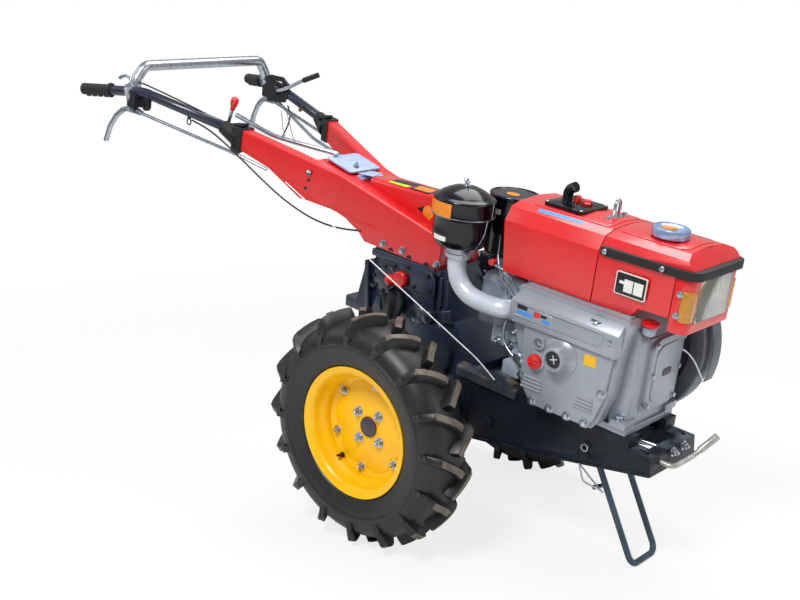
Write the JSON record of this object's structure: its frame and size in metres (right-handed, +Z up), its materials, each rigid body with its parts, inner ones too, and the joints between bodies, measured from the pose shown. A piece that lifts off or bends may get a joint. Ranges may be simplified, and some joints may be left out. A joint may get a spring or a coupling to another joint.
{
  "type": "two-wheel walking tractor",
  "caption": "Walk-behind two-wheel tractor: single-cylinder water-cooled diesel on a tapered bed, belt drive to a gearbox between lugged tyres, long handlebars, and a folding front stand.",
  "frame": {"origin": "on the ground under the middle of the machine's overall length and width, parked on its wheels and front stand", "axes": "+X forward, from the handles to the engine, +Y to the machine's left, along the wheel axis, +Z up"},
  "size_m": [1.9894, 0.856, 1.2273],
  "materials": {
    "amber_lens": "moulded",
    "black_cable": "matte",
    "black_casting": "satin over casting",
    "black_gloss": "high gloss",
    "black_rubber": "matte",
    "cast_iron": "machined and painted",
    "chrome": "bright",
    "clear_lens": "clear moulded",
    "dark_enamel": "semi-gloss over rough casting",
    "navy_enamel": "semi-gloss",
    "pale_cable": "satin",
    "red_enamel": "gloss",
    "red_plastic": "gloss",
    "silver_paint": "aluminium paint over casting",
    "tyre_rubber": "matte with dust on the lugs",
    "yellow_enamel": "gloss",
    "zinc_plate": "bright zinc"
  },
  "bodies": {
    "chassis": {"air_cleaner": "black_gloss", "arm_sockets": "black_casting", "axle_housings": "dark_enamel", "brake_cable": "black_cable", "clutch_lever": "black_casting", "control_rods": "zinc_plate", "crankcase": "silver_paint", "crankcase_front_cover": "silver_paint", "crossbar": "zinc_plate", "crossbar_clamps": "zinc_plate", "cylinder_head": "silver_paint", "drive_belts": "black_rubber", "engine_bed": "dark_enamel", "flywheel_guard": "cast_iron", "fuel_tank": "red_enamel", "gear_case": "silver_paint", "gear_cover": "silver_paint", "gearbox_case": "dark_enamel", "gearbox_covers": "dark_enamel", "gearbox_filler_cap": "red_plastic", "grips": "black_rubber", "handle_arm_left": "red_enamel", "handle_arm_right": "red_enamel", "handle_frame_centre": "red_enamel", "handle_tubes": "navy_enamel", "hitch_bracket": "dark_enamel", "hopper": "red_enamel", "hopper_knobs": "red_plastic", "hopper_plate": "black_rubber", "intake_pipe": "zinc_plate", "lamp_housing": "red_enamel", "lamp_lens": "clear_lens", "lamp_wire": "pale_cable", "left_cable": "black_cable", "lever_brackets": "black_casting", "lifting_eye": "zinc_plate", "lock_lever": "red_plastic", "muffler": "black_gloss", "rocker_cover": "silver_paint", "shift_gate": "zinc_plate", "shift_rod": "zinc_plate", "side_lenses": "amber_lens", "stand_pin": "zinc_plate", "steering_levers": "zinc_plate", "tank_bumper": "black_rubber", "tank_cap": "chrome", "throttle_cable": "pale_cable", "throttle_lever": "zinc_plate", "tow_hook": "zinc_plate"},
    "left_wheel": {"tyre_left": "tyre_rubber", "rim_left": "yellow_enamel", "hub_left": "dark_enamel"},
    "right_wheel": {"tyre_right": "tyre_rubber", "rim_right": "yellow_enamel", "hub_right": "dark_enamel"},
    "engine_rotor": {"flywheel": "cast_iron", "engine_pulley": "cast_iron"},
    "clutch_rotor": {"clutch_pulley": "dark_enamel"},
    "front_stand": {"stand": "dark_enamel"}
  },
  "joints": [
    {"name": "left_wheel_spin", "type": "hinge", "parent": "chassis", "child": "left_wheel", "pos_m": [0.19919, 0.349, 0.314], "axis": [0, 1, 0], "continuous": true},
    {"name": "right_wheel_spin", "type": "hinge", "parent": "chassis", "child": "right_wheel", "pos_m": [0.19919, -0.349, 0.314], "axis": [0, 1, 0], "continuous": true},
    {"name": "flywheel_spin", "type": "hinge", "parent": "chassis", "child": "engine_rotor", "pos_m": [0.66903, 0.17, 0.54664], "axis": [0, 1, 0], "continuous": true},
    {"name": "clutch_pulley_spin", "type": "hinge", "parent": "chassis", "child": "clutch_rotor", "pos_m": [0.12783, 0.17, 0.55407], "axis": [0, 1, 0], "continuous": true},
    {"name": "stand_fold", "type": "hinge", "parent": "chassis", "child": "front_stand", "pos_m": [0.69565, 0, 0.2877], "axis": [0, 1, 0], "range_deg": [0, 108]}
  ],
  "couplings": [
    {"joint": "clutch_pulley_spin", "follows": "flywheel_spin", "ratio": 0.6793}
  ]
}
